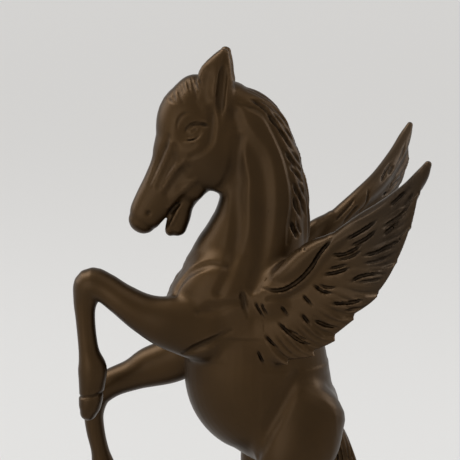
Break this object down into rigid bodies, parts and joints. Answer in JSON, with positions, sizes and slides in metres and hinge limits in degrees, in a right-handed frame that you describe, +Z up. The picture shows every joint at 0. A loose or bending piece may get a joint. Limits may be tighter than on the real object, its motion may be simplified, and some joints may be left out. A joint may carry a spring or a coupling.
{
  "type": "winged horse sculpture",
  "caption": "Rearing winged horse in brown-patinated cast bronze, its hind hooves bolted through a bronze ground to a polished stone plinth with a felt underside.",
  "frame": {"origin": "centre of the felt's underside, where the sculpture stands on a table", "axes": "+Z up, the horse faces -X, and its left side faces -Y"},
  "size_m": [0.1617, 0.1342, 0.3254],
  "materials": {
    "bronze_patina": "satin waxed brown patina over cast bronze",
    "dowel_brass": "plain drawn bar",
    "plinth_stone": "polished black stone with fine pale veins",
    "base_felt": "dark green felt",
    "fixing_steel": "zinc-plated"
  },
  "bodies": {
    "root": {"body": "bronze_patina", "head": "bronze_patina", "left_foreleg": "bronze_patina", "right_foreleg": "bronze_patina", "left_hind_leg": "bronze_patina", "right_hind_leg": "bronze_patina", "tail": "bronze_patina", "left_wing": "bronze_patina", "right_wing": "bronze_patina", "bronze_ground": "bronze_patina", "head_dowel": "dowel_brass", "left_foreleg_dowel": "dowel_brass", "right_foreleg_dowel": "dowel_brass", "left_hind_leg_dowel": "dowel_brass", "right_hind_leg_dowel": "dowel_brass", "tail_dowel": "dowel_brass", "left_wing_dowel": "dowel_brass", "right_wing_dowel": "dowel_brass", "stone_plinth": "plinth_stone", "felt_pad": "base_felt", "left_hoof_stud": "fixing_steel", "left_washer": "fixing_steel", "left_nut": "fixing_steel", "right_hoof_stud": "fixing_steel", "right_washer": "fixing_steel", "right_nut": "fixing_steel"}
  },
  "joints": []
}
